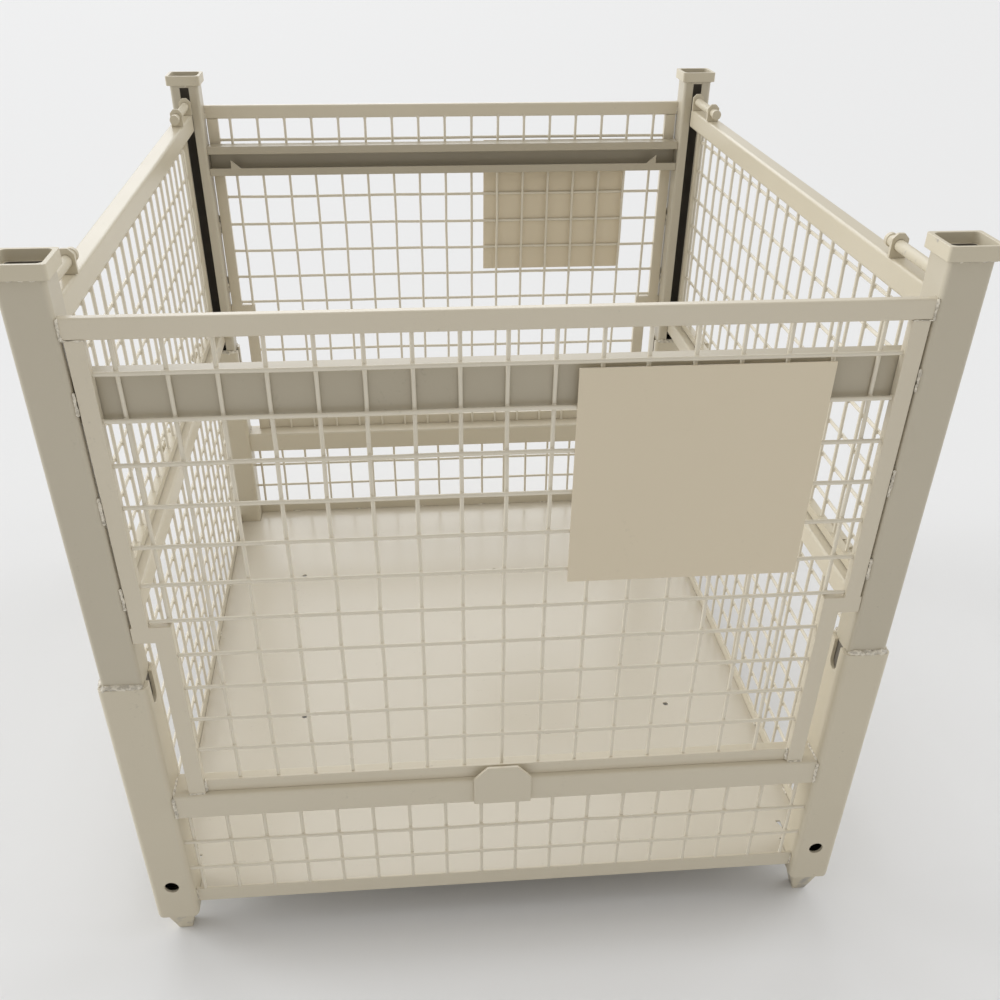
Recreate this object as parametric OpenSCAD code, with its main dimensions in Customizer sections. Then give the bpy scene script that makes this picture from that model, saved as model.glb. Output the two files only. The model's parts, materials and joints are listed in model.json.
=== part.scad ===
// Stackable wire mesh container with two half-drop side gates.
// X is the width, Y the depth (front at -Y), Z is up.
// The origin is at floor level, under the middle of the container.

/* [Overall size] */
// Width over the lower legs
body_w = 1000; // [900:10:1200]
// Depth over the lower legs
body_d = 1210; // [1000:10:1400]
// Height over the stacking collars
body_h = 961; // [940:1:1000]

/* [Corner posts] */
// Side of the square lower leg
leg_side = 60; // [58:1:62]
// Height of the top edge of the lower leg
leg_top_z = 460; // [446:1:464]
// Side of the square upper post
post_side = 50; // [48:1:50]
// Wall of the upper post
post_wall = 3; // [2:0.5:4]
// Width of the slot in the upper post
slot_w = 16; // [16:0.5:18]
// Height of the stacking collar
collar_h = 15; // [12:1:18]
// Height of the stacking foot
foot_h = 46; // [40:1:50]
// Side of the stacking foot where it meets the leg
foot_base = 44; // [36:1:46]
// Side of the stacking foot at its tip
foot_tip = 20; // [16:1:30]
// Diameter of the hole low in each leg
leg_hole_d = 20; // [12:1:24]
// Height of the hole low in each leg
leg_hole_z = 108; // [96:1:130]

/* [End panels] */
// Width of the frame bars of the end panels
bar_w = 22; // [18:1:24]
// Depth of the frame bars of the end panels
bar_t = 12; // [10:1:14]
// Height of the top face of the end panels
panel_top_z = 908; // [904:1:912]
// Height of the top face of the step in the end panels
step_top_z = 545; // [536:1:548]
// How far the panels step in below the step
step_in = 26; // [24:1:30]
// Sheet size of the label plates along X
label_w = 278; // [150:1:320]
// Sheet size of the label plates along Z
label_h = 260; // [150:1:290]
// Left edge of the label plates
label_x = 74; // [0:1:90]
// Height of the back label plate, which hangs level with the front one at the top
back_label_h = 238; // [150:1:290]

/* [Wire mesh] */
// Diameter of the mesh wires
wire_d = 5; // [3:0.5:5]
// Pitch of the mesh wires
pitch = 50; // [50:1:50]
// Height of the lowest horizontal wire of the end panels
row_z = 350; // [344:1:358]

/* [Base] */
// Height of the upper face of the deck
deck_z = 72; // [68:0.5:74]
// Leg length of the base angles
base_leg = 25; // [22:1:30]
// Thickness of the deck sheet
deck_t = 3; // [2:0.5:3]
// Height of the upper face of the mid rails between the legs
mid_top_z = 278; // [266:1:280]
// Depth of the mid rails
mid_d = 50; // [40:1:52]
// Height of the mid rails
mid_h = 40; // [30:1:40]

/* [Side walls] */
// Width of the side rails
rail_w = 25; // [22:1:26]
// Height of the side rails
rail_h = 30; // [26:1:34]
// Height of the upper face of the fixed side rails
side_mid_z = 510; // [500:1:512]
// Diameter of the hinge pins
hinge_pin_d = 6; // [5:0.5:7]
// Diameter of the slide bolts
bolt_d = 13; // [11:0.5:13]
// Length of the slide bolts
bolt_l = 149; // [149:1:160]

/* [Hidden] */
$fn = 48;

// Gap between pieces that touch, and a small overlap for clean cuts
gap = 0.05;
eps = 1;

// Axis of each corner post, from the middle of the container
post_x = body_w / 2 - leg_side / 2;
post_y = body_d / 2 - leg_side / 2;
post_in = post_x - post_side / 2;
post_out_y = post_y + post_side / 2;
post_in_y = post_y - post_side / 2;
leg_in = post_x - leg_side / 2;
leg_in_y = post_y - leg_side / 2;

// Heights of the corner pieces
collar_z = body_h - collar_h;
collar_grip = 4;
post_top_z = collar_z + collar_grip;
post_foot_z = 320;
leg_wall = (leg_side - post_side) / 2 - gap;
notch_w = 20;
notch_h = 40;

// Planes of the end panels, measured outwards along Y
panel_out = post_out_y - 2;
panel_in = panel_out - bar_t;
row_y = panel_out - 6;
column_y = row_y - wire_d - gap;
channel_out = column_y - wire_d / 2 - gap;
channel_d = 30;
channel_h = 50;
channel_lip = 13;
channel_t = 3;
channel_z = panel_top_z - 63 - channel_h;
label_top_z = panel_top_z - 64;
label_t = 2;
step_z = step_top_z - bar_w;
wide_in = post_in - bar_w;
bar_side = post_in - 2.2;
narrow_out = post_in - step_in;
narrow_in = narrow_out - bar_w;
bottom_bar_h = 19;
bottom_bar_t = 4;
bar_wall = 1.5;
row_count = 11;
narrow_rows = 4;
column_reach = 8;

// Planes of the lower strip and the base
mid_out = post_out_y + 3;
plate_t = 5;
plate_w = 78;
plate_top_w = 41;
plate_bevel_z = 19;
angle_t = 4;
base_z = deck_z - deck_t - gap - angle_t;
base_top_z = base_z + base_leg;
base_out = post_out_y - 7;
side_base_x = post_x + 15;
strip_column_y = base_out - wire_d / 2;
strip_row_y = strip_column_y + wire_d + gap;
strip_row_z = base_z + 72;
strip_shift = -2.5;
bearer_w = 40;
bearer_h = 18;
bearer_wall = 2;
drain_d = 9;
drains = [[-328, 296], [-306, -183], [73, 289], [337, -198], [116, -262]];

// Side wall planes, measured outwards along X
rail_x = post_x + 4.5;
rail_out = rail_x + rail_w / 2;
side_column_x = post_x + 13;
side_row_x = side_column_x + wire_d + gap;
rail_wall = 2.5;
side_end = post_in_y - gap;
side_columns = 21;
lower_rows = 7;
gate_bottom_z = side_mid_z + 2;
gate_bar = 12;
gate_bar_x = post_x + 6;
gate_end = post_in_y - 3;
gate_end_rod = 9;
gate_rail_top_z = panel_top_z - 7;
gate_rail_z = gate_rail_top_z - rail_h;
gate_rows = 7;
gate_first_row_z = gate_bottom_z + 34;

// Hinges: the axis lies outboard of the side rails
hinge_x = post_x + 26;
hinge_z = gate_bottom_z + 4;
knuckle_d = 12;
knuckle_gap = 1;
fixed_knuckle_l = 20;
gate_knuckle_l = 30;
hinge_step = 400;
leaf_h = 24;
strap_t = 5;
pin_fit = 0.1;

// Slide bolts: at rest the tips are just short of the slots in the posts
bolt_z = gate_rail_top_z + 14;
bolt_rest_gap = 2.5;
knob_d = 15.5;
knob_l = 7;
guide_t = 5;
guide_w = 20;
guide_h = 27;
guide_bevel = 6;
guide_near = 15.5;
guide_far = 125;
guide_fit = 0.16;

echo(post_x = post_x, post_y = post_y, hinge_x = hinge_x, hinge_z = hinge_z, bolt_z = bolt_z);

// ---- shared shapes ----

// Puts children, drawn at +X and +Y, at one of the four corners
module corner(sx, sy) {
  mirror([sx < 0 ? 1 : 0, 0, 0])
    mirror([0, sy < 0 ? 1 : 0, 0])
      children();
}

// Square outline with true round corners
module round_square(side_x, side_y, r) {
  square([side_x - 2 * r, side_y], center = true);
  square([side_x, side_y - 2 * r], center = true);
  for (x = [-1, 1], y = [-1, 1])
    translate([x * (side_x / 2 - r), y * (side_y / 2 - r)])
      circle(r = r);
}

// Upright square tube
module upright_tube(side, wall, r, h) {
  linear_extrude(h)
    difference() {
      round_square(side, side, r);
      round_square(side - 2 * wall, side - 2 * wall, r - wall + 1);
    }
}

// Rectangular tube lying along X, centred
module tube_x(side_y, side_z, wall, r, l) {
  rotate([90, 0, 90])
    translate([0, 0, -l / 2])
      linear_extrude(l)
        difference() {
          round_square(side_y, side_z, r);
          round_square(side_y - 2 * wall, side_z - 2 * wall, max(r - wall, 0.5));
        }
}

// Rectangular tube lying along Y, centred
module tube_y(side_x, side_z, wall, r, l) {
  rotate([0, 0, 90])
    tube_x(side_x, side_z, wall, r, l);
}

// Equal angle lying along X: upright leg at y = 0, flat leg towards -Y
module angle_x(l) {
  translate([-l / 2, 0, base_z])
    rotate([90, 0, 90])
      linear_extrude(l)
        polygon([
          [0, 0], [0, base_leg], [-angle_t, base_leg],
          [-angle_t, angle_t], [-base_leg, angle_t], [-base_leg, 0]
        ]);
}

// Wire along Z, from z1 to z2
module wire_z(z1, z2) {
  translate([0, 0, z1])
    cylinder(d = wire_d, h = z2 - z1);
}

// Wire along X, between x1 and x2
module wire_x(x1, x2) {
  translate([x1, 0, 0])
    rotate([0, 90, 0])
      cylinder(d = wire_d, h = x2 - x1);
}

// Wire along Y, of length l, centred
module wire_y(l) {
  translate([0, l / 2, 0])
    rotate([90, 0, 0])
      cylinder(d = wire_d, h = l);
}

// ---- corner posts ----

module post() {
  color("antiquewhite")
    translate([post_x, post_y, post_foot_z])
      difference() {
        upright_tube(post_side, post_wall, 6, post_top_z - post_foot_z);
        translate([-slot_w / 2, -post_side / 2 - eps, leg_top_z + 4 - post_foot_z])
          cube([slot_w, post_wall + 2 * eps, collar_z - leg_top_z - 8]);
      }
}

module collar() {
  color("antiquewhite")
    translate([post_x, post_y, collar_z])
      linear_extrude(collar_h)
        difference() {
          round_square(leg_side, leg_side, 3.5);
          round_square(post_side + 2 * gap, post_side + 2 * gap, 6);
        }
}

module leg() {
  color("antiquewhite")
    translate([post_x, post_y, 0])
      difference() {
        intersection() {
          translate([0, 0, foot_h])
            linear_extrude(leg_top_z - foot_h)
              round_square(leg_side, leg_side, 8);
          leg_silhouette();
        }
        translate([0, 0, foot_h + leg_wall])
          linear_extrude(leg_top_z)
            round_square(leg_side - 2 * leg_wall, leg_side - 2 * leg_wall, 5);
        leg_notch();
        translate([0, leg_side / 2 + eps, leg_hole_z])
          rotate([90, 0, 0])
            cylinder(d = leg_hole_d, h = leg_wall + 2 * eps);
      }
}

// Front view of the leg, with rounded bottom corners
module leg_silhouette() {
  corner_r = 8;
  translate([0, leg_side / 2 + eps, (foot_h + leg_top_z + corner_r) / 2])
    rotate([90, 0, 0])
      linear_extrude(leg_side + 2 * eps)
        round_square(leg_side, leg_top_z - foot_h + corner_r, corner_r);
}

// U-shaped notch in the top edge of the inner face of the leg
module leg_notch() {
  translate([-leg_side / 2 - eps, 0, leg_top_z - notch_h + notch_w / 2]) {
    rotate([0, 90, 0])
      cylinder(d = notch_w, h = leg_wall + 2 * eps);
    translate([0, -notch_w / 2, 0])
      cube([leg_wall + 2 * eps, notch_w, notch_h]);
  }
}

// Truncated pyramid under the leg, drawn as two crossing wedges
module foot() {
  color("silver")
    translate([post_x, post_y, 0])
      intersection() {
        foot_wedge();
        rotate([0, 0, 90])
          foot_wedge();
      }
}

module foot_wedge() {
  translate([0, foot_base / 2, 0])
    rotate([90, 0, 0])
      linear_extrude(foot_base)
        polygon([
          [-foot_tip / 2, 0], [foot_tip / 2, 0],
          [foot_base / 2, foot_h - gap], [-foot_base / 2, foot_h - gap]
        ]);
}

// ---- end panels, drawn at the back ----

module top_rail() {
  color("antiquewhite")
    translate([0, panel_out - bar_t / 2, panel_top_z - bar_w / 2])
      tube_x(bar_t, bar_w, bar_wall, 2.5, 2 * (post_in - gap));
}

// Side bar of the end panel, hollow: wide part, step and narrow part
module side_bar() {
  color("antiquewhite")
    translate([0, panel_out, 0])
      rotate([90, 0, 0])
        difference() {
          linear_extrude(bar_t)
            side_bar_outline(0, 0);
          translate([0, 0, bar_wall])
            linear_extrude(bar_t - 2 * bar_wall)
              side_bar_outline(bar_wall, eps);
        }
}

// Outline of the side bar, drawn in by "wall" and run out at both ends
module side_bar_outline(wall, run_out) {
  bar_top = panel_top_z - bar_w - gap + run_out;
  bar_foot = mid_top_z + gap - run_out;
  polygon([
    [wide_in + wall, bar_top], [bar_side - wall, bar_top],
    [bar_side - wall, step_top_z - wall], [post_in - gap - wall, step_top_z - wall],
    [post_in - gap - wall, step_z + wall], [narrow_out - wall, step_z + wall],
    [narrow_out - wall, bar_foot], [narrow_in + wall, bar_foot],
    [narrow_in + wall, step_top_z - wall], [wide_in + wall, step_top_z - wall]
  ]);
}

// Flat bar along the foot of the end panel, outside the upright wires
module bottom_bar() {
  color("antiquewhite")
    translate([-narrow_in + gap, column_y + wire_d / 2 + gap, mid_top_z + gap])
      cube([2 * (narrow_in - gap), bottom_bar_t, bottom_bar_h]);
}

module end_mesh() {
  column_top = panel_top_z - bar_w - 2 * gap;
  color("ivory") {
    for (i = [-column_reach : column_reach])
      translate([i * pitch, column_y, 0])
        wire_z(abs(i) == column_reach ? step_top_z + gap : mid_top_z + 1, column_top);
    for (i = [0 : row_count - 1])
      translate([0, row_y, row_z + i * pitch]) {
        reach = (i < narrow_rows ? narrow_in : wide_in) - gap;
        wire_x(-reach, reach);
      }
  }
}

// Lipped channel with its flat web outwards, and two small locating teeth
module channel() {
  l = 2 * (post_in - gap);
  color("antiquewhite")
    translate([0, channel_out, channel_z]) {
      difference() {
        translate([-l / 2, -channel_d, 0])
          cube([l, channel_d, channel_h]);
        translate([-l / 2 - eps, channel_t - channel_d, channel_t])
          cube([l + 2 * eps, channel_d - 2 * channel_t, channel_h - 2 * channel_t]);
        translate([-l / 2 - eps, -channel_d - eps, channel_lip])
          cube([l + 2 * eps, channel_t + 2 * eps, channel_h - 2 * channel_lip]);
      }
      for (side = [-1, 1])
        mirror([side < 0 ? 1 : 0, 0, 0])
          translate([l / 2 - 60, -channel_d + channel_t, channel_lip])
            rotate([90, 0, 0])
              linear_extrude(channel_t)
                polygon([[0, -eps], [19, 14], [20, 14], [20, -eps]]);
    }
}

module label_plate(h) {
  color("wheat")
    translate([label_x, row_y + wire_d / 2 + gap, label_top_z - h])
      cube([label_w, label_t, h]);
}

module mid_rail() {
  color("antiquewhite")
    translate([0, mid_out - mid_d / 2, mid_top_z - mid_h / 2])
      tube_x(mid_d, mid_h, 3, 4, 2 * (leg_in - gap));
}

module centre_plate() {
  z1 = mid_top_z - mid_h + 2;
  z2 = mid_top_z + 25;
  color("antiquewhite")
    translate([0, mid_out + plate_t + gap, 0])
      rotate([90, 0, 0])
        linear_extrude(plate_t)
          polygon([
            [-plate_w / 2, z1], [plate_w / 2, z1],
            [plate_w / 2, z2 - plate_bevel_z], [plate_top_w / 2, z2],
            [-plate_top_w / 2, z2], [-plate_w / 2, z2 - plate_bevel_z]
          ]);
}

module strip_mesh() {
  z2 = mid_top_z - mid_h - gap;
  color("ivory") {
    for (i = [-9 : 8])
      translate([(i + 0.5) * pitch + strip_shift, strip_column_y, 0])
        wire_z(base_top_z + gap, z2);
    for (i = [0, 1])
      translate([0, strip_row_y, strip_row_z + i * pitch])
        wire_x(-leg_in + gap, leg_in - gap);
  }
}

// ---- base ----

module end_base_angle() {
  color("antiquewhite")
    translate([0, base_out, 0])
      angle_x(2 * (leg_in - gap));
}

module side_base_angle() {
  color("antiquewhite")
    translate([side_base_x, 0, 0])
      rotate([0, 0, -90])
        angle_x(2 * (leg_in_y - gap));
}

// Sheet deck lying in the frame of angles, cut out round the four legs
module deck() {
  half_w = side_base_x - angle_t - 0.5;
  half_d = base_out - angle_t - 0.5;
  color("whitesmoke")
    translate([0, 0, deck_z - deck_t])
      difference() {
        translate([-half_w, -half_d, 0])
          cube([2 * half_w, 2 * half_d, deck_t]);
        for (sx = [-1, 1], sy = [-1, 1])
          corner(sx, sy)
            translate([leg_in - 0.5, leg_in_y - 0.5, -eps])
              cube([half_w, half_d, deck_t + 2 * eps]);
        for (sx = [-1, 1])
          corner(sx, -1)
            translate([leg_in + 4, leg_in_y - 38, -eps])
              linear_extrude(deck_t + 2 * eps)
                polygon([[0, 0], [8, 0], [8, 18]]);
        for (d = drains)
          translate([d[0], d[1], -eps])
            cylinder(d = drain_d, h = deck_t + 2 * eps);
      }
}

// Flat tubes under the deck, standing between the end base angles
module deck_bearers() {
  l = 2 * (base_out - base_leg - gap);
  color("silver")
    for (i = [-1.5 : 1.5])
      translate([i * 260, 0, deck_z - deck_t - gap - bearer_h / 2])
        tube_y(bearer_w, bearer_h, bearer_wall, 3, l);
}

// ---- fixed half of the side walls, drawn at the right ----

module side_wires(z1, z2, first_row_z, rows, half_l) {
  color("ivory") {
    for (i = [0 : side_columns - 1])
      translate([side_column_x, (i - (side_columns - 1) / 2) * pitch, 0])
        wire_z(z1, z2);
    for (i = [0 : rows - 1])
      translate([side_row_x, 0, first_row_z + i * pitch])
        wire_y(2 * half_l);
  }
}

module lower_mesh() {
  z1 = base_top_z + gap;
  z2 = side_mid_z - rail_h - gap;
  side_wires(z1, z2, base_z + 65, lower_rows, leg_in_y - gap);
}

module side_mid_rail() {
  color("antiquewhite")
    translate([rail_x, 0, side_mid_z - rail_h / 2])
      tube_y(rail_w, rail_h, rail_wall, 4, 2 * side_end);
}

// ---- half-drop gates, drawn at the right ----

module gate_rail() {
  color("antiquewhite")
    translate([rail_x, 0, gate_rail_z + rail_h / 2])
      tube_y(rail_w, rail_h, rail_wall, 4, 2 * gate_end);
}

// Bottom bar, end rods and the hinge knuckles with their straps
module gate_frame() {
  rod_y = gate_end - gate_end_rod / 2;
  color("antiquewhite")
    difference() {
      union() {
        translate([gate_bar_x, -gate_end, gate_bottom_z])
          cube([gate_bar, 2 * gate_end, gate_bar]);
        for (side = [-1, 1])
          translate([gate_bar_x + gate_bar / 2, side * rod_y, gate_bottom_z + gate_bar / 2])
            cylinder(d = gate_end_rod, h = gate_rail_z - gate_bottom_z - gate_bar / 2 - gap);
        for (i = [-1 : 1])
          translate([0, i * hinge_step, 0])
            gate_knuckle();
      }
      for (i = [-1 : 1])
        translate([0, i * hinge_step, 0])
          hinge_bore(gate_knuckle_l + 2 * eps, pin_fit);
    }
}

module gate_knuckle() {
  translate([hinge_x, gate_knuckle_l / 2, hinge_z])
    rotate([90, 0, 0])
      cylinder(d = knuckle_d, h = gate_knuckle_l);
  translate([gate_bar_x + gate_bar / 2, -gate_knuckle_l / 2, hinge_z + knuckle_d / 2 - strap_t])
    cube([hinge_x - gate_bar_x - gate_bar / 2, gate_knuckle_l, strap_t]);
}

module hinge_bore(l, fit) {
  translate([hinge_x, l / 2, hinge_z])
    rotate([90, 0, 0])
      cylinder(d = hinge_pin_d + fit, h = l);
}

module gate_mesh() {
  z1 = gate_bottom_z + gate_bar + gap;
  z2 = gate_rail_z - gap;
  side_wires(z1, z2, gate_first_row_z, gate_rows, gate_end - gate_end_rod - gap);
}

// Two upright guide plates at each end of the gate rail
module bolt_guides() {
  color("antiquewhite")
    for (side = [-1, 1])
      mirror([0, side < 0 ? 1 : 0, 0])
        for (inset = [guide_near, guide_far])
          translate([post_x, post_in_y - inset, gate_rail_top_z + gap])
            guide_plate();
}

module guide_plate() {
  half_w = guide_w / 2;
  rotate([90, 0, 0])
    translate([0, 0, -guide_t / 2])
      linear_extrude(guide_t)
        difference() {
          polygon([
            [-half_w, 0], [half_w, 0], [half_w, guide_h - guide_bevel],
            [half_w - guide_bevel, guide_h], [guide_bevel - half_w, guide_h],
            [-half_w, guide_h - guide_bevel]
          ]);
          translate([0, bolt_z - gate_rail_top_z - gap])
            circle(d = bolt_d + guide_fit);
        }
}

// Slide bolt with a knob, drawn at the back end of the right gate
module slide_bolt() {
  tip_y = post_in_y - bolt_rest_gap;
  color("silver")
    translate([post_x, tip_y, bolt_z])
      rotate([90, 0, 0]) {
        translate([0, 0, 1.5])
          cylinder(d = bolt_d, h = bolt_l - 1.5);
        cylinder(d1 = bolt_d - 3, d2 = bolt_d, h = 1.5);
        translate([0, 0, bolt_l - knob_l])
          cylinder(d = knob_d, h = knob_l);
      }
}

// ---- hinge hardware ----

// Two fixed knuckles, each on its leaf welded to the outer face of the side rail
module hinge_leaf() {
  difference() {
    for (side = [-1, 1])
      translate([0, side * (gate_knuckle_l / 2 + knuckle_gap + fixed_knuckle_l / 2), 0])
        rotate([90, 0, 0])
          translate([0, 0, -fixed_knuckle_l / 2])
            linear_extrude(fixed_knuckle_l) {
              translate([hinge_x, hinge_z])
                circle(d = knuckle_d);
              leaf_outline();
            }
    hinge_bore(gate_knuckle_l + 2 * fixed_knuckle_l + 10, 0.04);
  }
}

// End view of the leaf, with a shoulder that clears the bottom bar of the gate
module leaf_outline() {
  leaf_x = rail_out + gap;
  shoulder_z = gate_bottom_z - 0.5;
  polygon([
    [leaf_x, shoulder_z - leaf_h], [hinge_x - 4.5, shoulder_z - leaf_h],
    [hinge_x - 4.5, hinge_z], [gate_bar_x + gate_bar + 0.6, hinge_z],
    [gate_bar_x + gate_bar + 0.6, shoulder_z], [leaf_x, shoulder_z]
  ]);
}

module hinge_pin() {
  l = gate_knuckle_l + 2 * (fixed_knuckle_l + knuckle_gap) + 4;
  translate([hinge_x, l / 2, hinge_z])
    rotate([90, 0, 0])
      cylinder(d = hinge_pin_d, h = l);
}

module all_hinges() {
  for (side = [-1, 1])
    mirror([side < 0 ? 1 : 0, 0, 0])
      for (i = [-1 : 1])
        translate([0, i * hinge_step, 0])
          children();
}

module hinge_leaves() {
  color("antiquewhite")
    all_hinges()
      hinge_leaf();
}

module hinge_pins() {
  color("silver")
    all_hinges()
      hinge_pin();
}

// ---- nodes ----

corner(-1, -1) post();  // front_left_post
corner(1, -1) post();  // front_right_post
corner(-1, 1) post();  // back_left_post
corner(1, 1) post();  // back_right_post
corner(-1, -1) collar();  // front_left_collar
corner(1, -1) collar();  // front_right_collar
corner(-1, 1) collar();  // back_left_collar
corner(1, 1) collar();  // back_right_collar
corner(-1, -1) leg();  // front_left_leg
corner(1, -1) leg();  // front_right_leg
corner(-1, 1) leg();  // back_left_leg
corner(1, 1) leg();  // back_right_leg
corner(-1, -1) foot();  // front_left_foot
corner(1, -1) foot();  // front_right_foot
corner(-1, 1) foot();  // back_left_foot
corner(1, 1) foot();  // back_right_foot
corner(1, -1) top_rail();  // front_top_rail
corner(1, 1) top_rail();  // back_top_rail
corner(-1, -1) side_bar();  // front_left_side_bar
corner(1, -1) side_bar();  // front_right_side_bar
corner(-1, 1) side_bar();  // back_left_side_bar
corner(1, 1) side_bar();  // back_right_side_bar
corner(1, -1) bottom_bar();  // front_bottom_bar
corner(1, 1) bottom_bar();  // back_bottom_bar
corner(1, -1) end_mesh();  // front_mesh
corner(1, 1) end_mesh();  // back_mesh
corner(1, -1) channel();  // front_channel
corner(1, 1) channel();  // back_channel
corner(1, -1) label_plate(label_h);  // front_label_plate
corner(1, 1) label_plate(back_label_h);  // back_label_plate
corner(1, -1) mid_rail();  // front_mid_rail
corner(1, 1) mid_rail();  // back_mid_rail
corner(1, -1) centre_plate();  // front_centre_plate
corner(1, 1) centre_plate();  // back_centre_plate
corner(1, -1) strip_mesh();  // front_strip_mesh
corner(1, 1) strip_mesh();  // back_strip_mesh
corner(1, -1) end_base_angle();  // front_base_angle
corner(1, 1) end_base_angle();  // back_base_angle
corner(-1, 1) side_base_angle();  // left_base_angle
corner(1, 1) side_base_angle();  // right_base_angle
deck();
deck_bearers();
corner(-1, 1) lower_mesh();  // left_lower_mesh
corner(1, 1) lower_mesh();  // right_lower_mesh
corner(-1, 1) side_mid_rail();  // left_mid_rail
corner(1, 1) side_mid_rail();  // right_mid_rail
corner(-1, 1) gate_rail();  // left_gate_rail
corner(1, 1) gate_rail();  // right_gate_rail
corner(-1, 1) gate_frame();  // left_gate_frame
corner(1, 1) gate_frame();  // right_gate_frame
corner(-1, 1) gate_mesh();  // left_gate_mesh
corner(1, 1) gate_mesh();  // right_gate_mesh
corner(-1, 1) bolt_guides();  // left_bolt_guides
corner(1, 1) bolt_guides();  // right_bolt_guides
hinge_leaves();
hinge_pins();
corner(-1, -1) slide_bolt();  // left_front_bolt
corner(-1, 1) slide_bolt();  // left_back_bolt
corner(1, -1) slide_bolt();  // right_front_bolt
corner(1, 1) slide_bolt();  // right_back_bolt
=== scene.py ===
"""Looks of the stackable wire mesh container: powder coated frame, welded mesh, weld beads."""

import json
import math

import bpy
from mathutils import Matrix, Vector

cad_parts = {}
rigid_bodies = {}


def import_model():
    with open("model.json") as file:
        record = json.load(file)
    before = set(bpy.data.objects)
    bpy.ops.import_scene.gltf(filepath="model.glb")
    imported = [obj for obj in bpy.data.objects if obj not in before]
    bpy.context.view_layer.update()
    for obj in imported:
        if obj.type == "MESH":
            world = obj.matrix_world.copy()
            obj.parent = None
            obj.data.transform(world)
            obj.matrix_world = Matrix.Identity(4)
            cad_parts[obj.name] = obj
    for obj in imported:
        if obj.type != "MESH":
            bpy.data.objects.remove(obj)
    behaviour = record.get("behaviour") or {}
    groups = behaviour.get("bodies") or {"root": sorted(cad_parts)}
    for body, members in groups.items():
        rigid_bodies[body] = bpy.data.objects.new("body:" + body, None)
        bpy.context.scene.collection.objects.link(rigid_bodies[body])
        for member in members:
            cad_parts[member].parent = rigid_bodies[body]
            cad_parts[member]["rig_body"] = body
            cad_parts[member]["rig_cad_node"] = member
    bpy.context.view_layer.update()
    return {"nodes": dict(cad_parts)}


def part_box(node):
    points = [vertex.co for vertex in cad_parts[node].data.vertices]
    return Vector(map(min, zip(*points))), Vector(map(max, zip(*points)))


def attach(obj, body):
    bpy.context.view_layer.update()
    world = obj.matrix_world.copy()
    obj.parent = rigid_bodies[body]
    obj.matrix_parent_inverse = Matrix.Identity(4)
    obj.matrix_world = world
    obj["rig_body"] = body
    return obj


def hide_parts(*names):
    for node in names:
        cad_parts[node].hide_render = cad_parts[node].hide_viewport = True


MM = 0.001

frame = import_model()
nodes = frame["nodes"]

CORNERS = ["front_left", "front_right", "back_left", "back_right"]
ENDS = ["front", "back"]
SIDES = ["left", "right"]


# ---- finishes ----

# A Mix node has sockets for every kind of value. These are the colour ones.
MIX_FIRST_COLOUR = 6
MIX_SECOND_COLOUR = 7
MIX_COLOUR_RESULT = 2


class Tone:
    """A number that varies over a surface. Working with it adds its Math nodes."""

    def __init__(self, coat, socket):
        self.coat = coat
        self.socket = socket

    def math(self, operation, *values):
        return self.coat.node("Math", {"operation": operation}, *values)

    def __add__(self, other):
        return self.math("ADD", self, other)

    def __radd__(self, other):
        return self.math("ADD", other, self)

    def __sub__(self, other):
        return self.math("SUBTRACT", self, other)

    def __rsub__(self, other):
        return self.math("SUBTRACT", other, self)

    def __mul__(self, other):
        return self.math("MULTIPLY", self, other)

    def __rmul__(self, other):
        return self.math("MULTIPLY", other, self)

    def clamped(self):
        return self.coat.node("Clamp", {}, self)


class Coat:
    """A finish being mixed: a material and the nodes put into it."""

    def __init__(self, name):
        self.material = bpy.data.materials.new(name)
        self.material.use_nodes = True
        self.tree = self.material.node_tree
        self.tree.nodes.clear()
        self.place = self.node("TexCoord", {}, output="Object")

    def node(self, kind, settings, *values, output=0, **named):
        """Adds a node: its settings first, then the values or links of its inputs."""
        made = self.tree.nodes.new("ShaderNode" + kind)
        for setting, value in settings.items():
            if setting == "stops":
                self.set_stops(made.color_ramp, value)
            else:
                setattr(made, setting, value)
        for slot, value in [*enumerate(values), *named.items()]:
            key = slot if isinstance(slot, int) else slot.replace("_", " ")
            self.fill(made.inputs[key], value)
        return Tone(self, made.outputs[output]) if made.outputs else made

    def set_stops(self, ramp, stops):
        for element, (position, grey) in zip(ramp.elements, stops):
            element.position = position
            element.color = (grey, grey, grey, 1)

    def fill(self, socket, value):
        if isinstance(value, Tone):
            self.tree.links.new(value.socket, socket)
        else:
            socket.default_value = value

    def noise(self, scale, detail, stretch=None):
        """Cloudy grain; scale is roughly the number of lumps in a metre."""
        place = self.place
        if stretch:
            place = self.node("Mapping", {}, place, Scale=stretch)
        return self.node("TexNoise", {}, Vector=place, Scale=scale, Detail=detail)

    def ramp(self, tone, none_at, full_at):
        """Spreads a tone out: 0 up to one of its values, 1 from the other one on."""
        stops = sorted([(none_at, 0.0), (full_at, 1.0)])
        return self.node("ValToRGB", {"stops": stops}, tone)

    def blend_colour(self, share, first, second):
        made = self.tree.nodes.new("ShaderNodeMix")
        made.data_type = "RGBA"
        self.fill(made.inputs["Factor"], share)
        self.fill(made.inputs[MIX_FIRST_COLOUR], first)
        self.fill(made.inputs[MIX_SECOND_COLOUR], second)
        return Tone(self, made.outputs[MIX_COLOUR_RESULT])

    def finish(self, colour, roughness, height=None, bump=0.0, depth=0.0, metal=None):
        """Ends the coat in its shader. Height is the relief of the surface, and depth its size."""
        surface = {"Base_Color": colour, "Roughness": roughness}
        if metal is not None:
            surface["Metallic"] = metal
        if height is not None:
            surface["Normal"] = self.node(
                "Bump", {}, Height=height, Strength=bump, Distance=depth)
        shader = self.node("BsdfPrincipled", {}, **surface)
        self.node("OutputMaterial", {}, Surface=shader)
        return self.material


def rgb(red, green, blue):
    return (red, green, blue, 1.0)


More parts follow.
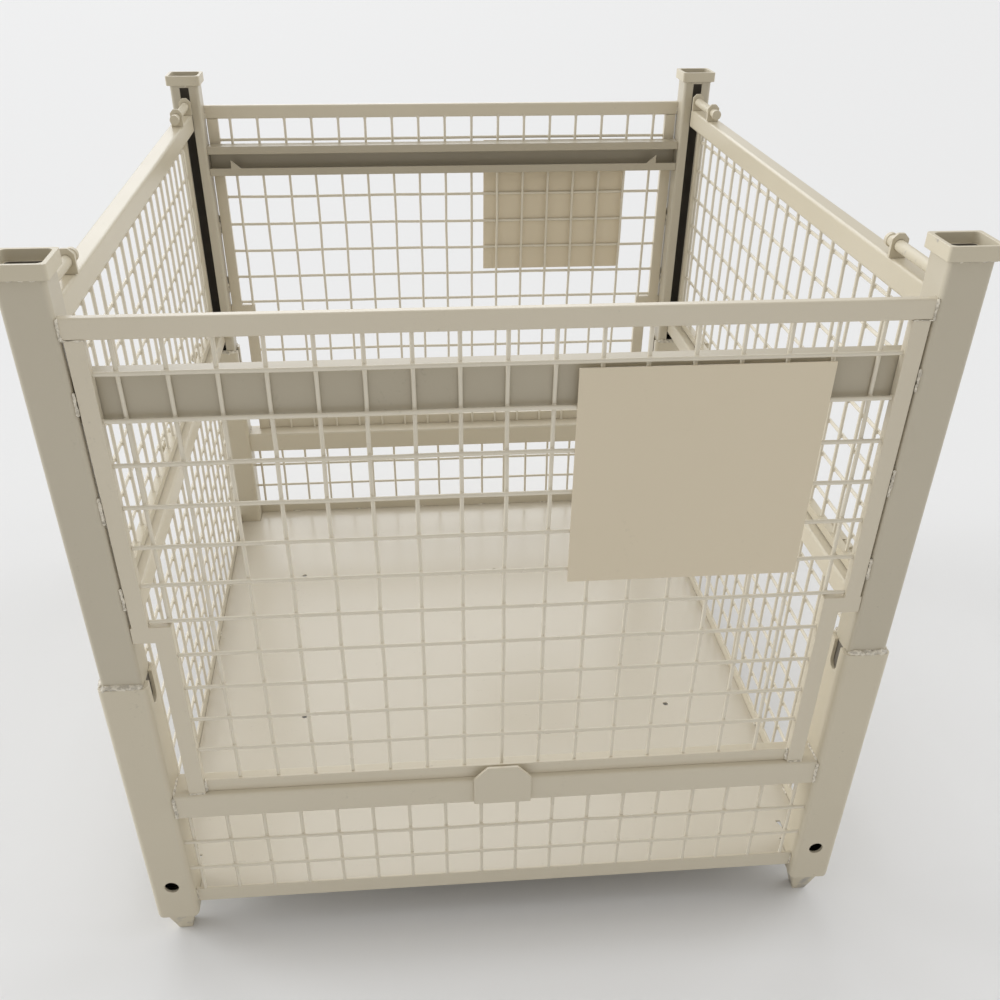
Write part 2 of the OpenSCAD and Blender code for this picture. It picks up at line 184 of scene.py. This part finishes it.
CREAM = rgb(0.600, 0.540, 0.412)
CREAM_WORN = rgb(0.530, 0.470, 0.350)
# The weld's cream, lighter than the frame's: partly its paint, partly painted light on the lump
# tops.
WELD_PAINT_AND_LIGHT = rgb(0.760, 0.705, 0.590)
# Dark brown for dirt and dust, and also for the painted shade between the weld lumps.
GRIME_AND_SHADE = rgb(0.260, 0.230, 0.180)
BARE_STEEL = rgb(0.420, 0.400, 0.370)
# Near black for the insides of tubes and the post's foot: partly bare steel, partly painted shade.
INSIDE_STEEL_AND_SHADE = rgb(0.115, 0.102, 0.085)

STREAK_STRETCH = (1, 1, 0.25)  # streaks of dirt run down, four times as long as wide
THIN_SHARE = 0.35              # how far the colour turns where the coat is thin
THIN_DULLS = 0.06              # how much rougher the coat is there
DIRT_DULLS = 0.10              # how much rougher dirt is
RUBBED_ROUGHNESS = 0.42
STEEL_SHINES = 0.06            # how much smoother bare steel is
WELD_ROUGHNESS = 0.22
PINHOLES_DULL = 0.30           # how much rougher a pinhole is
SHADE_AND_PINHOLE_SHARE = 0.5             # how dark the painted shade between lumps and the pinholes are
INSIDE_ROUGHNESS = 0.7
INSIDE_DUST_SHARE = 0.5


def powder_coat(name, colour=CREAM, thin=CREAM_WORN, roughness=0.30, peel=0.16, grime=0.35):
    """Cream powder coat: faint cloudy thickness, orange peel, a little dirt in streaks."""
    coat = Coat(name)
    cloud = coat.ramp(coat.noise(scale=5.0, detail=2.0), none_at=0.25, full_at=0.80)
    film = coat.blend_colour(cloud * THIN_SHARE, colour, thin)
    streak = coat.ramp(coat.noise(scale=26.0, detail=5.0, stretch=STREAK_STRETCH),
                       none_at=0.56, full_at=0.74)
    dust = coat.ramp(coat.noise(scale=170.0, detail=4.0), none_at=0.60, full_at=0.75)
    dirt = (streak * dust * grime).clamped()
    surface = coat.blend_colour(dirt, film, GRIME_AND_SHADE)
    rough = roughness + cloud * THIN_DULLS + dirt * DIRT_DULLS
    relief = coat.noise(scale=650.0, detail=2.0)
    return coat.finish(surface, rough, height=relief, bump=peel, depth=0.25 * MM)


def rubbed_coat(name, wear_from, wear_to):
    """Powder coat worn to bare steel in patches."""
    coat = Coat(name)
    worn = coat.ramp(coat.noise(scale=55.0, detail=5.0), none_at=wear_from, full_at=wear_to)
    surface = coat.blend_colour(worn, CREAM, BARE_STEEL)
    relief = coat.noise(scale=420.0, detail=3.0)
    rough = RUBBED_ROUGHNESS - worn * STEEL_SHINES
    return coat.finish(surface, rough, height=relief, bump=0.2, depth=0.3 * MM, metal=worn)


def weld_coat(name):
    """Painted weld metal: glossy lumps with painted shade in the low spots between them, and dark
    pinholes.
    """
    coat = Coat(name)
    relief = coat.noise(scale=190.0, detail=3.0)
    # Painted shade: darker where the relief is low, so the low spots between the lumps look
    # shaded.
    hollow_shade = coat.ramp(relief, none_at=0.56, full_at=0.40)
    pinholes = coat.ramp(coat.noise(scale=300.0, detail=4.0), none_at=0.60, full_at=0.70)
    dark = (hollow_shade * SHADE_AND_PINHOLE_SHARE + pinholes * SHADE_AND_PINHOLE_SHARE).clamped()
    surface = coat.blend_colour(dark, WELD_PAINT_AND_LIGHT, GRIME_AND_SHADE)
    rough = WELD_ROUGHNESS + pinholes * PINHOLES_DULL
    return coat.finish(surface, rough, height=relief, bump=1.0, depth=2.5 * MM)


def inside_steel_and_shade_coat(name):
    """The inside of the tubes: partly bare steel where hardly any powder reached, partly painted
    shade of the recess.
    """
    coat = Coat(name)
    dust = coat.noise(scale=30.0, detail=4.0)
    surface = coat.blend_colour(dust * INSIDE_DUST_SHARE, INSIDE_STEEL_AND_SHADE, GRIME_AND_SHADE)
    relief = coat.noise(scale=300.0, detail=3.0)
    return coat.finish(surface, INSIDE_ROUGHNESS, height=relief, bump=0.3, depth=0.3 * MM)


FINISH = {
    "posts": powder_coat("post_coat", colour=rgb(0.545, 0.493, 0.385),
                         thin=rgb(0.490, 0.442, 0.340)),
    "collars": rubbed_coat("collar_coat", wear_from=0.66, wear_to=0.74),
    "legs": powder_coat("leg_coat", colour=rgb(0.625, 0.565, 0.438),
                        thin=rgb(0.560, 0.500, 0.378), grime=0.5),
    "feet": rubbed_coat("foot_coat", wear_from=0.50, wear_to=0.66),
    "panel_frames": powder_coat("panel_frame_coat", colour=rgb(0.665, 0.602, 0.475),
                                thin=rgb(0.610, 0.548, 0.425)),
    # Partly painted light: the wires are drawn lighter than the frame's cream, for the light on
    # their upper sides.
    "wires": powder_coat("wire_lit_coat", colour=rgb(0.735, 0.680, 0.560),
                         thin=rgb(0.660, 0.605, 0.490), roughness=0.24, peel=0.1, grime=0.2),
    # Painted shade: the channels are drawn darker than the other cream parts, for the shade on
    # their recessed webs.
    "channels": powder_coat("channel_shaded_coat", colour=rgb(0.465, 0.415, 0.315),
                            thin=rgb(0.420, 0.372, 0.278)),
    "label_plates": powder_coat("label_plate_coat", colour=rgb(0.710, 0.622, 0.465),
                                thin=rgb(0.680, 0.595, 0.440),
                                roughness=0.33, peel=0.08, grime=0.08),
    "rails": powder_coat("rail_coat", colour=rgb(0.645, 0.585, 0.460),
                         thin=rgb(0.590, 0.530, 0.410)),
    "deck": powder_coat("deck_coat", colour=rgb(0.650, 0.600, 0.500),
                        thin=rgb(0.630, 0.578, 0.478), roughness=0.20, peel=0.05, grime=0.25),
    "gates": powder_coat("gate_coat"),
    "hinges": powder_coat("hinge_coat", grime=0.5),
    "bolts": rubbed_coat("bolt_coat", wear_from=0.68, wear_to=0.80),
}
WELD = weld_coat("weld_coat")
TUBE_INSIDE_SHADE = inside_steel_and_shade_coat("tube_inside_bare_and_shade")


# ---- modelling helpers ----

def drop_selection():
    if bpy.context.object and bpy.context.object.mode != "OBJECT":
        bpy.ops.object.mode_set(mode="OBJECT")
    bpy.ops.object.select_all(action="DESELECT")


def pick(*objects):
    """Selects some objects alone, with the first one active."""
    drop_selection()
    for piece in objects:
        piece.select_set(True)
    bpy.context.view_layer.objects.active = objects[0]


def edit(piece, select="SELECT"):
    pick(piece)
    bpy.ops.object.mode_set(mode="EDIT")
    bpy.ops.mesh.select_all(action=select)


def leave_edit():
    bpy.ops.object.mode_set(mode="OBJECT")


def copy_of(piece, place):
    """A copy with its own mesh, moved in its mesh."""
    made = piece.copy()
    made.data = piece.data.copy()
    bpy.context.scene.collection.objects.link(made)
    made.data.transform(place)
    return made


def joined(name, pieces):
    """Several pieces made one object."""
    pick(*pieces)
    bpy.ops.object.join()
    made = bpy.context.object
    made.name = name
    made.data.name = name
    return made


def place_applied(piece):
    pick(piece)
    bpy.ops.object.transform_apply(location=True, rotation=True, scale=True)


def coated(piece, material, body):
    """Gives a piece its finish and the body that it moves with."""
    piece.data.materials.clear()
    piece.data.materials.append(material)
    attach(piece, body)
    return piece


def smooth_by_angle(piece, degrees):
    pick(piece)
    bpy.ops.object.shade_smooth_by_angle(angle=math.radians(degrees))


def removed(piece):
    mesh = piece.data
    bpy.data.objects.remove(piece)
    bpy.data.meshes.remove(mesh)


# ---- frame pieces with eased edges ----

SAME_CORNER = 0.005 * MM  # corners closer than this are one corner
FLAT_DEGREES = 0.5        # faces that meet at less than this are one face
SHARP_DEGREES = 40        # edges sharper than this are rounded over
SMOOTH_DEGREES = 35       # edges blunter than this are shaded smooth
EDGE_SEGMENTS = 2
UPRIGHT = 0.5             # a face whose normal rises less than this stands upright


def eased(name, slot, edge, cut_at=None):
    """The CAD piece again: flat faces whole, sharp edges rounded over, cut level at a height."""
    source = nodes[name]
    piece = source.copy()
    piece.data = source.data.copy()
    piece.parent = None
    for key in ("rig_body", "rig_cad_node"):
        if key in piece:
            del piece[key]
    bpy.context.scene.collection.objects.link(piece)
    piece.name = name + "_eased"
    piece.data.name = piece.name
    edit(piece)
    bpy.ops.mesh.remove_doubles(threshold=SAME_CORNER)
    bpy.ops.mesh.dissolve_limited(angle_limit=math.radians(FLAT_DEGREES))
    if cut_at:
        bpy.ops.mesh.select_all(action="SELECT")
        bpy.ops.mesh.bisect(plane_co=(0, 0, cut_at), plane_no=(0, 0, 1))
    leave_edit()
    rounding = piece.modifiers.new("eased edges", "BEVEL")
    rounding.width = edge
    rounding.segments = EDGE_SEGMENTS
    rounding.limit_method = "ANGLE"
    rounding.angle_limit = math.radians(SHARP_DEGREES)
    pick(piece)
    bpy.ops.object.modifier_apply(modifier=rounding.name)
    smooth_by_angle(piece, SMOOTH_DEGREES)
    flat = piece.modifiers.new("flat faces stay flat", "WEIGHTED_NORMAL")
    flat.keep_sharp = True
    bpy.ops.object.modifier_apply(modifier=flat.name)
    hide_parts(name)
    return coated(piece, FINISH[slot], source["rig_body"])


def darkened_inside(piece, name, wall, hidden_below=0):
    """Gives the faces inside a tube, and those below a height, the dark inside colour: partly bare
    steel, partly painted shade.
    """
    low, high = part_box(name)
    piece.data.materials.append(TUBE_INSIDE_SHADE)
    edit(piece, "DESELECT")
    leave_edit()
    for face in piece.data.polygons:
        middle = face.center
        inside = (low.x + wall < middle.x < high.x - wall
                  and low.y + wall < middle.y < high.y - wall)
        upright = abs(face.normal.z) < UPRIGHT
        face.select = (inside and upright) or middle.z < hidden_below
    bpy.ops.object.mode_set(mode="EDIT")
    piece.active_material_index = 1
    bpy.ops.object.material_slot_assign()
    leave_edit()


# Each piece, its slot, and the width of its rounded edges in millimetres.
EASED = (
    [(c + "_collar", "collars", 0.8) for c in CORNERS]
    + [(c + "_leg", "legs", 0.7) for c in CORNERS]
    + [(c + "_foot", "feet", 2.0) for c in CORNERS]
    + [(c + "_side_bar", "panel_frames", 1.2) for c in CORNERS]
    + [(e + "_top_rail", "panel_frames", 0.3) for e in ENDS]
    + [(e + "_bottom_bar", "panel_frames", 0.7) for e in ENDS]
    + [(e + "_channel", "channels", 0.9) for e in ENDS]
    + [(e + "_label_plate", "label_plates", 0.4) for e in ENDS]
    + [(e + "_mid_rail", "rails", 0.4) for e in ENDS]
    + [(e + "_centre_plate", "rails", 0.8) for e in ENDS]
    + [(e + "_base_angle", "rails", 0.7) for e in ENDS + SIDES]
    + [("deck", "deck", 0.5), ("deck_bearers", "deck", 0.3)]
    + [(s + "_mid_rail", "rails", 0.3) for s in SIDES]
    + [(s + "_gate_rail", "gates", 0.3) for s in SIDES]
    + [(s + "_gate_frame", "gates", 0.7) for s in SIDES]
    + [(s + "_bolt_guides", "gates", 0.6) for s in SIDES]
    + [("hinge_leaves", "hinges", 0.5), ("hinge_pins", "bolts", 0.4)]
    + [(f"{s}_{e}_bolt", "bolts", 0.5) for s in SIDES for e in ENDS]
)
for piece_name, slot_name, edge_mm in EASED:
    eased(piece_name, slot_name, edge_mm * MM)

POST_EDGE = 0.5 * MM
POST_INSIDE_DEPTH = 2.5 * MM  # faces deeper than this in a post are inside it
LEG_INSIDE_DEPTH = 4 * MM
POST_HIDDEN = 2 * MM    # the post is drawn dark from this far under the leg's top edge: partly bare steel, partly painted shade

for corner in CORNERS:
    dark_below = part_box(corner + "_leg")[1].z - POST_HIDDEN
    post = eased(corner + "_post", "posts", POST_EDGE, cut_at=dark_below)
    # Painted shade: the inside faces and the foot of the post are drawn near black.
    darkened_inside(post, corner + "_post", POST_INSIDE_DEPTH, hidden_below=dark_below)
    darkened_inside(bpy.data.objects[corner + "_leg_eased"], corner + "_leg", LEG_INSIDE_DEPTH)


# ---- welded wire mesh ----

WIRE_R = 2.5 * MM
PITCH = 50 * MM
WIRE_SIDES = 10
WIRE_SMOOTH_DEGREES = 50
SPOT_R = WIRE_R * 1.3
SPOT_THICKNESS = 0.62           # of the ball that it is pressed from
BENDS_ALONG = (0.11, 2.4 * MM)  # length of the bends sideways, and how far they go
BENDS_UP = (0.16, 2.0 * MM)     # the same for the bends up and down


def wire(length):
    """One wire along Z from the origin: cropped ends, cut into short lengths to bend."""
    drop_selection()
    bpy.ops.mesh.primitive_cylinder_add(
        vertices=WIRE_SIDES, radius=WIRE_R, depth=length, location=(0, 0, length / 2))
    piece = bpy.context.object
    place_applied(piece)
    edit(piece)
    steps = max(2, round(length / (PITCH / 2)))
    for step in range(1, steps):
        bpy.ops.mesh.select_all(action="SELECT")
        bpy.ops.mesh.bisect(plane_co=(0, 0, length * step / steps), plane_no=(0, 0, 1))
    leave_edit()
    return piece


def weld_spot():
    """The flat pool of metal where two wires cross."""
    drop_selection()
    bpy.ops.mesh.primitive_uv_sphere_add(segments=8, ring_count=4, radius=SPOT_R)
    piece = bpy.context.object
    edit(piece)
    bpy.ops.transform.resize(value=(1.0, 1.0, SPOT_THICKNESS))
    leave_edit()
    return piece


def turned(axis, degrees):
    return Matrix.Rotation(math.radians(degrees), 4, axis)


WIRE_TURNS = [turned("Y", 90), turned("X", -90), Matrix.Identity(4)]


def runs_of(name):
    """The separate wires of a CAD mesh: (low corner, high corner) of each."""
    source = nodes[name]
    probe = source.copy()
    probe.data = source.data.copy()
    probe.parent = None
    bpy.context.scene.collection.objects.link(probe)
    edit(probe)
    bpy.ops.mesh.remove_doubles(threshold=SAME_CORNER)
    bpy.ops.mesh.separate(type="LOOSE")
    leave_edit()
    runs = []
    for part in list(bpy.context.selected_objects):
        corners = [v.co.copy() for v in part.data.vertices]
        low = Vector([min(c[i] for c in corners) for i in range(3)])
        high = Vector([max(c[i] for c in corners) for i in range(3)])
        runs.append((low, high))
        removed(part)
    return runs


def bent(piece, size, reach, direction):
    """Bends a whole mesh a little, the way handling does."""
    clouds = bpy.data.textures.new(f"{piece.name}_{direction}_bend", "CLOUDS")
    clouds.noise_scale = size
    clouds.noise_depth = 1
    push = piece.modifiers.new("handling", "DISPLACE")
    push.texture = clouds
    push.texture_coords = "LOCAL"
    push.direction = direction
    push.mid_level = 0.5
    push.strength = reach
    pick(piece)
    bpy.ops.object.modifier_apply(modifier=push.name)
    bpy.data.textures.remove(clouds)


def crossings(uprights, levels, along, across):
    """The points where upright and level wires of a panel cross."""
    points = []
    for upright_low, upright_high in uprights:
        for level_low, level_high in levels:
            upright = (upright_low + upright_high) / 2
            level = (level_low + level_high) / 2
            if not level_low[along] <= upright[along] <= level_high[along]:
                continue
            if not upright_low.z <= level.z <= upright_high.z:
                continue
            point = Vector((0, 0, level.z))
            point[along] = upright[along]
            point[across] = (upright[across] + level[across]) / 2
            points.append(point)
    return points


def tips(wires, axis):
    """The end points of wires that run along an axis."""
    points = []
    for low, high in wires:
        for end_at in (low[axis], high[axis]):
            point = (low + high) / 2
            point[axis] = end_at
            points.append(point)
    return points


def wire_panel(name, body, across):
    """A mesh panel of wires; "across" is the axis that its thickness lies along."""
    along = 1 if across == 0 else 0
    masters = {}
    parts = []
    uprights = []
    levels = []
    for low, high in runs_of(name):
        size = high - low
        long_axis = max(range(3), key=lambda axis: size[axis])
        length = round(size[long_axis], 5)
        if length not in masters:
            masters[length] = wire(length)
        start = (low + high) / 2
        start[long_axis] = low[long_axis]
        place = Matrix.Translation(start) @ WIRE_TURNS[long_axis]
        parts.append(copy_of(masters[length], place))
        if long_axis == 2:
            uprights.append((low, high))
        else:
            levels.append((low, high))
    spot = weld_spot()
    lay = turned("Y", 90) if across == 0 else turned("X", 90)
    welds = crossings(uprights, levels, along, across) + tips(uprights, 2) + tips(levels, along)
    for point in welds:
        parts.append(copy_of(spot, Matrix.Translation(point) @ lay))
    piece = joined(name + "_welded", parts)
    for master in [*masters.values(), spot]:
        removed(master)
    bent(piece, *BENDS_ALONG, direction="XYZ"[along])
    bent(piece, *BENDS_UP, direction="Z")
    smooth_by_angle(piece, WIRE_SMOOTH_DEGREES)
    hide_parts(name)
    return coated(piece, FINISH["wires"], body)


for end in ENDS:
    wire_panel(end + "_mesh", "frame", across=1)
    wire_panel(end + "_strip_mesh", "frame", across=1)
for side in SIDES:
    wire_panel(side + "_lower_mesh", "frame", across=0)
    wire_panel(side + "_gate_mesh", side + "_gate", across=0)


# ---- weld beads ----

BEAD_SIDES = 8
BEAD_STEP = 0.7     # from one ring to the next, in radii
BEAD_START = 0.55   # size of the first ring, in radii
BEAD_SWELL = 1.7    # how much wider the second ring is than the first
BEAD_WAIST = 0.84   # how much narrower every second ring is
BEAD_TAIL = 0.6     # how much narrower the last ring is
bead_masters = {}


def bead_master(length, radius):
    """A weld bead along X, centred on the origin, puddle over puddle."""
    drop_selection()
    bpy.ops.mesh.primitive_circle_add(
        vertices=BEAD_SIDES, radius=radius * BEAD_START, fill_type="NGON",
        location=(-length / 2, 0, 0), rotation=(0, math.radians(90), 0))
    piece = bpy.context.object
    place_applied(piece)
    edit(piece)
    steps = max(4, round(length / (radius * BEAD_STEP)))
    swell = BEAD_SWELL
    for step in range(steps):
        bpy.ops.mesh.extrude_region_move(
            TRANSFORM_OT_translate={"value": (length / steps, 0, 0)})
        if step == steps - 1:
            swell = BEAD_TAIL
        bpy.ops.transform.resize(value=(1, swell, swell))
        swell = BEAD_WAIST if step % 2 == 0 else 1 / BEAD_WAIST
    bpy.ops.mesh.select_all(action="SELECT")
    bpy.ops.mesh.normals_make_consistent(inside=False)
    leave_edit()
    return piece


def bead(start, end, radius):
    """A weld bead laid from one point to the other."""
    start, end = Vector(start), Vector(end)
    run = end - start
    key = (round(run.length, 3), radius)
    if key not in bead_masters:
        bead_masters[key] = bead_master(run.length, radius)
    turn = run.to_track_quat("X", "Z").to_matrix().to_4x4()
    return copy_of(bead_masters[key], Matrix.Translation((start + end) / 2) @ turn)


LUMP = 4.5 * MM          # size of the lumps in a bead
LUMP_REACH = 2.6 * MM    # how far they push its skin
CORNER_LUMP = 5 * MM
CORNER_REACH = 6 * MM


def welded(name, beads, lump=LUMP, reach=LUMP_REACH):
    """One object of beads on the frame, made uneven like weld metal."""
    piece = joined(name, beads)
    softened = piece.modifiers.new("softened", "SUBSURF")
    softened.levels = softened.render_levels = 1
    pick(piece)
    bpy.ops.object.modifier_apply(modifier=softened.name)
    lumps = bpy.data.textures.new(name + "_lumps", "CLOUDS")
    lumps.noise_scale = lump
    push = piece.modifiers.new("lumps", "DISPLACE")
    push.texture = lumps
    push.texture_coords = "LOCAL"
    push.mid_level = 0.5
    push.strength = reach
    bpy.ops.object.modifier_apply(modifier=push.name)
    bpy.data.textures.remove(lumps)
    bpy.ops.object.shade_smooth()
    return coated(piece, WELD, "frame")


def outer_inner(low, high, outwards):
    """The outer and the inner one of two sides; outwards is -1 or 1 along their axis."""
    return (low, high) if outwards < 0 else (high, low)


def end_sign(end):
    return -1 if end == "front" else 1


def side_sign(side):
    return -1 if side == "left" else 1


LEG_TOP_BEAD = 5.6 * MM
LEG_TOP_LIFT = 0.8 * MM
COLLAR_BEAD = 1.5 * MM
FOOT_BEAD = 2 * MM
FOOT_WELD_DROP = 1 * MM
BEAD_OUT = 0.1           # how far a bead's axis lies outside the post, in radii
BEAD_MARGIN = 4 * MM


def corner_welds(end, side):
    """The beads of one corner: leg to post, collar to post, foot to leg."""
    beads = []
    leg_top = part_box(f"{end}_{side}_leg")[1].z
    collar_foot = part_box(f"{end}_{side}_collar")[0].z
    low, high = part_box(f"{end}_{side}_post")
    for z, radius in ((leg_top + LEG_TOP_LIFT, LEG_TOP_BEAD), (collar_foot, COLLAR_BEAD)):
        out = radius * BEAD_OUT
        for y in (low.y - out, high.y + out):
            beads.append(bead((low.x - out, y, z), (high.x + out, y, z), radius))
        x = outer_inner(low.x - out, high.x + out, side_sign(side))[0]
        beads.append(bead((x, low.y + BEAD_MARGIN, z), (x, high.y - BEAD_MARGIN, z), radius))
    low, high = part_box(f"{end}_{side}_foot")
    z = high.z - FOOT_WELD_DROP
    for y in (low.y, high.y):
        beads.append(bead((low.x, y, z), (high.x, y, z), FOOT_BEAD))
    for x in (low.x, high.x):
        beads.append(bead((x, low.y, z), (x, high.y, z), FOOT_BEAD))
    return beads


# The stitches down a side bar: how far under the top rail each starts, and its length.
STITCHES = [(52 * MM, 26 * MM), (170 * MM, 34 * MM), (286 * MM, 30 * MM)]
STITCH_BEAD = 2.3 * MM
INNER_STITCH_BEAD = 2 * MM
INNER_STITCH_DROP = 9 * MM
RAIL_SEAM_BEAD = 0.9 * MM
BAR_FOOT_BEAD = 2.2 * MM
CORNER_FILL_BEAD = 3.4 * MM
CORNER_FILL_LIFT = 2 * MM


def panel_welds(end, side):
    """The beads that hold an end panel in its corner."""
    beads = []
    outward = end_sign(end)
    outboard = side_sign(side)
    bar_low, bar_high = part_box(f"{end}_{side}_side_bar")
    rail_low, rail_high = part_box(end + "_top_rail")
    foot_bar_low, foot_bar_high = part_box(end + "_bottom_bar")
    mid_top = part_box(end + "_mid_rail")[1].z
    face, inner_face = outer_inner(bar_low.y, bar_high.y, outward)
    post_x, inner_x = outer_inner(bar_low.x, bar_high.x, outboard)
    tip = outer_inner(foot_bar_low.y, foot_bar_high.y, outward)[0]
    bar_width = rail_high.z - rail_low.z
    stitches = [(rail_high.z, bar_width)]
    stitches += [(rail_low.z - drop, length) for drop, length in STITCHES]
    for top, length in stitches:
        foot = top - length
        inner_top = top - INNER_STITCH_DROP
        beads.append(bead((post_x, face, top), (post_x, face, foot), STITCH_BEAD))
        beads.append(bead((post_x, inner_face, inner_top), (post_x, inner_face, foot),
                          INNER_STITCH_BEAD))
    beads.append(bead((post_x, face, rail_low.z),
                      (post_x - outboard * bar_width, face, rail_low.z), RAIL_SEAM_BEAD))
    beads.append(bead((inner_x, face, mid_top),
                      (inner_x + outboard * bar_width, face, mid_top), BAR_FOOT_BEAD))
    fill_x = inner_x - outboard * MM
    beads.append(bead((fill_x, tip, foot_bar_high.z + CORNER_FILL_LIFT),
                      (fill_x, tip + outward * MM, mid_top + MM), CORNER_FILL_BEAD))
    return beads


MID_RAIL_BEAD = 3.2 * MM
BASE_ANGLE_BEAD = 2.4 * MM
TOP_SEAM = 0.8           # size of the bead on top of a mid rail, as a share of the other
TOP_SEAM_FROM = 4 * MM   # how far behind the rail's face it starts
TOP_SEAM_TO = 40 * MM
END_MARGIN = 2 * MM


def rail_welds(end, side):
    """The beads at the ends of the mid rail and the base angle."""
    beads = []
    outward = end_sign(end)
    for name, radius in (("mid_rail", MID_RAIL_BEAD), ("base_angle", BASE_ANGLE_BEAD)):
        low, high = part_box(f"{end}_{name}")
        x = outer_inner(low.x, high.x, side_sign(side))[0]
        face = outer_inner(low.y, high.y, outward)[0]
        beads.append(bead((x, face, high.z - END_MARGIN), (x, face, low.z + END_MARGIN), radius))
        if name == "mid_rail":
            beads.append(bead((x, face - outward * TOP_SEAM_FROM, high.z),
                              (x, face - outward * TOP_SEAM_TO, high.z), radius * TOP_SEAM))
    return beads


for end in ENDS:
    for side in SIDES:
        welded(f"{end}_{side}_corner_welds", corner_welds(end, side),
               lump=CORNER_LUMP, reach=CORNER_REACH)
        welded(f"{end}_{side}_panel_welds", panel_welds(end, side))
        welded(f"{end}_{side}_rail_welds", rail_welds(end, side))

TACKS = 6               # along each edge of the deck
TACK_HALF = 8 * MM
TACK_BEAD = 2.2 * MM
TACK_SPREAD = 0.9       # share of the edge that the tacks are spread over


def deck_tacks():
    """Short tack welds between the deck and the angles round it."""
    beads = []
    low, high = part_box("deck")
    z = high.z
    for step in range(TACKS):
        share = (step + 0.5) / TACKS - 0.5
        x = share * (high.x - low.x) * TACK_SPREAD
        for y in (low.y, high.y):
            beads.append(bead((x - TACK_HALF, y, z), (x + TACK_HALF, y, z), TACK_BEAD))
        y = share * (high.y - low.y) * TACK_SPREAD
        for x in (low.x, high.x):
            beads.append(bead((x, y - TACK_HALF, z), (x, y + TACK_HALF, z), TACK_BEAD))
    return beads


welded("deck_tacks", deck_tacks())
for master in bead_masters.values():
    removed(master)


# ---- floor, light and camera ----

FLOOR_SIZE = 60.0
FLOOR_MIDDLE = (0, 20.0, 0)  # it reaches further behind the container than before it
FLOOR_COLOUR = rgb(0.78, 0.78, 0.78)
FLOOR_ROUGHNESS = 0.8
SKY_COLOUR = rgb(1.0, 0.98, 0.95)
SKY_STRENGTH = 0.60
SUN_COLOUR = (0.93, 0.96, 1.0)

drop_selection()
bpy.ops.mesh.primitive_plane_add(size=FLOOR_SIZE, location=FLOOR_MIDDLE)
floor = bpy.context.object
floor.name = "floor"
place_applied(floor)
floor.data.materials.append(Coat("pale_floor").finish(FLOOR_COLOUR, FLOOR_ROUGHNESS))

world = bpy.data.worlds.new("studio")
world.use_nodes = True
sky = world.node_tree.nodes["Background"]
sky.inputs["Color"].default_value = SKY_COLOUR
sky.inputs["Strength"].default_value = SKY_STRENGTH
bpy.context.scene.world = world


def daylight(name, strength, spread, direction):
    """Soft light from far away; spread is its width in degrees."""
    lamp = bpy.data.lights.new(name, "SUN")
    lamp.energy = strength
    lamp.color = SUN_COLOUR
    lamp.angle = math.radians(spread)
    holder = bpy.data.objects.new(name, lamp)
    bpy.context.scene.collection.objects.link(holder)
    holder.rotation_euler = Vector(direction).to_track_quat("-Z", "Y").to_euler()


# Low soft light from both sides and from behind, so the front lies in open shade.
daylight("right_light", strength=0.9, spread=50, direction=(-0.90, -0.22, -0.60))
daylight("left_light", strength=1.8, spread=40, direction=(0.92, -0.24, -0.30))
daylight("back_light", strength=0.9, spread=50, direction=(0.12, -0.87, -0.52))

# The camera stands at the front, a little to the left, looking down into the container.
SENSOR = 36.0
FOCAL_SHARE = 1.0717  # focal length over the width of the sensor
SHIFT_X = 0.0111
SHIFT_Y = 0.1963
CAMERA_PLACE = Vector((-0.1197, -1.679, 1.2569))
YAW = math.radians(-5.33)
PITCH_DOWN = math.radians(-37.68)
ROLL = math.radians(-0.43)
LOOK_LEVEL = Matrix.Rotation(math.radians(90), 4, "X")

camera_data = bpy.data.cameras.new("camera")
camera_data.sensor_width = SENSOR
camera_data.lens = SENSOR * FOCAL_SHARE
camera_data.shift_x = SHIFT_X
camera_data.shift_y = SHIFT_Y
camera = bpy.data.objects.new("camera", camera_data)
bpy.context.scene.collection.objects.link(camera)
camera.matrix_world = (
    Matrix.Translation(CAMERA_PLACE)
    @ Matrix.Rotation(YAW, 4, "Z")
    @ Matrix.Rotation(PITCH_DOWN, 4, "X")
    @ Matrix.Rotation(ROLL, 4, "Y")
    @ LOOK_LEVEL
)
bpy.context.scene.camera = camera
bpy.context.scene.view_settings.view_transform = "Standard"
